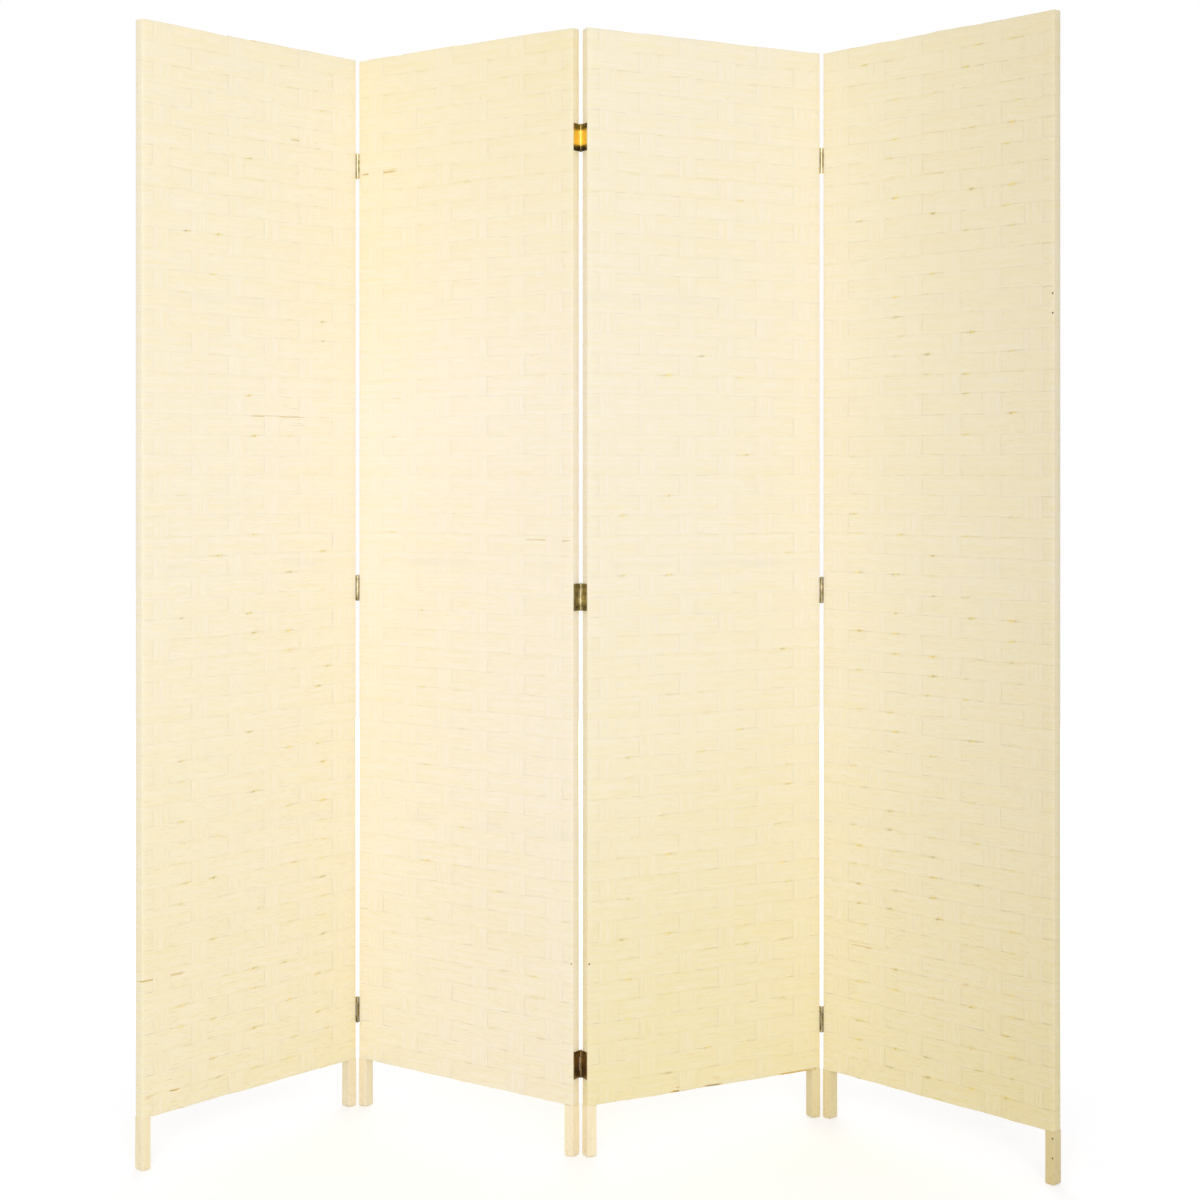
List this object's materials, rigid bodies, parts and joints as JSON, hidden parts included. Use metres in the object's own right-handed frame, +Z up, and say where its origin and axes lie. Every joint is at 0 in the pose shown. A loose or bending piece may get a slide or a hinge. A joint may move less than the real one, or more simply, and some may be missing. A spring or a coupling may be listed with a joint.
{
  "type": "folding screen",
  "caption": "Free-standing folding screen of hinged wooden-framed panels wrapped in pale woven paper, on short legs, set in a zigzag to divide a room.",
  "frame": {"origin": "on the floor, under the middle of the screen's outline in the zigzag it stands in", "axes": "+Z up, +X along the line of the screen to the right seen from the front, +Y from front to back"},
  "size_m": [1.422, 0.4022, 1.785],
  "materials": {
    "frame_wood": "pale bare wood",
    "woven_paper": "matt natural woven paper strands",
    "hinge_brass": "aged brass",
    "screw_brass": "aged brass"
  },
  "bodies": {
    "panel_1": {"panel_1_left_stile": "frame_wood", "panel_1_right_stile": "frame_wood", "panel_1_top_rail": "frame_wood", "panel_1_middle_rails": "frame_wood", "panel_1_bottom_rail": "frame_wood", "panel_1_woven_cover": "woven_paper", "fold_1_2_top_hinge_left_leaf": "hinge_brass", "fold_1_2_top_hinge_pin": "hinge_brass", "fold_1_2_middle_hinge_left_leaf": "hinge_brass", "fold_1_2_middle_hinge_pin": "hinge_brass", "fold_1_2_bottom_hinge_left_leaf": "hinge_brass", "fold_1_2_bottom_hinge_pin": "hinge_brass", "fold_1_2_left_leaf_screws": "screw_brass"},
    "panel_2": {"panel_2_left_stile": "frame_wood", "panel_2_right_stile": "frame_wood", "panel_2_top_rail": "frame_wood", "panel_2_middle_rails": "frame_wood", "panel_2_bottom_rail": "frame_wood", "panel_2_woven_cover": "woven_paper", "fold_1_2_top_hinge_right_leaf": "hinge_brass", "fold_1_2_middle_hinge_right_leaf": "hinge_brass", "fold_1_2_bottom_hinge_right_leaf": "hinge_brass", "fold_1_2_right_leaf_screws": "screw_brass", "fold_2_3_top_hinge_left_leaf": "hinge_brass", "fold_2_3_top_hinge_pin": "hinge_brass", "fold_2_3_middle_hinge_left_leaf": "hinge_brass", "fold_2_3_middle_hinge_pin": "hinge_brass", "fold_2_3_bottom_hinge_left_leaf": "hinge_brass", "fold_2_3_bottom_hinge_pin": "hinge_brass", "fold_2_3_left_leaf_screws": "screw_brass"},
    "panel_3": {"panel_3_left_stile": "frame_wood", "panel_3_right_stile": "frame_wood", "panel_3_top_rail": "frame_wood", "panel_3_middle_rails": "frame_wood", "panel_3_bottom_rail": "frame_wood", "panel_3_woven_cover": "woven_paper", "fold_2_3_top_hinge_right_leaf": "hinge_brass", "fold_2_3_middle_hinge_right_leaf": "hinge_brass", "fold_2_3_bottom_hinge_right_leaf": "hinge_brass", "fold_2_3_right_leaf_screws": "screw_brass", "fold_3_4_top_hinge_left_leaf": "hinge_brass", "fold_3_4_top_hinge_pin": "hinge_brass", "fold_3_4_middle_hinge_left_leaf": "hinge_brass", "fold_3_4_middle_hinge_pin": "hinge_brass", "fold_3_4_bottom_hinge_left_leaf": "hinge_brass", "fold_3_4_bottom_hinge_pin": "hinge_brass", "fold_3_4_left_leaf_screws": "screw_brass"},
    "panel_4": {"panel_4_left_stile": "frame_wood", "panel_4_right_stile": "frame_wood", "panel_4_top_rail": "frame_wood", "panel_4_middle_rails": "frame_wood", "panel_4_bottom_rail": "frame_wood", "panel_4_woven_cover": "woven_paper", "fold_3_4_top_hinge_right_leaf": "hinge_brass", "fold_3_4_middle_hinge_right_leaf": "hinge_brass", "fold_3_4_bottom_hinge_right_leaf": "hinge_brass", "fold_3_4_right_leaf_screws": "screw_brass"}
  },
  "joints": [
    {"name": "fold_1_2", "type": "hinge", "parent": "panel_2", "child": "panel_1", "pos_m": [-0.39208, 0.18627, 0.8845], "axis": [0, 0, 1], "range_deg": [-83, 97]},
    {"name": "fold_2_3", "type": "hinge", "parent": "panel_2", "child": "panel_3", "pos_m": [-0.01698, -0.0603, 0.8845], "axis": [0, 0, 1], "range_deg": [-63, 117]},
    {"name": "fold_3_4", "type": "hinge", "parent": "panel_3", "child": "panel_4", "pos_m": [0.39208, 0.12456, 0.8845], "axis": [0, 0, 1], "range_deg": [-106, 74]}
  ]
}
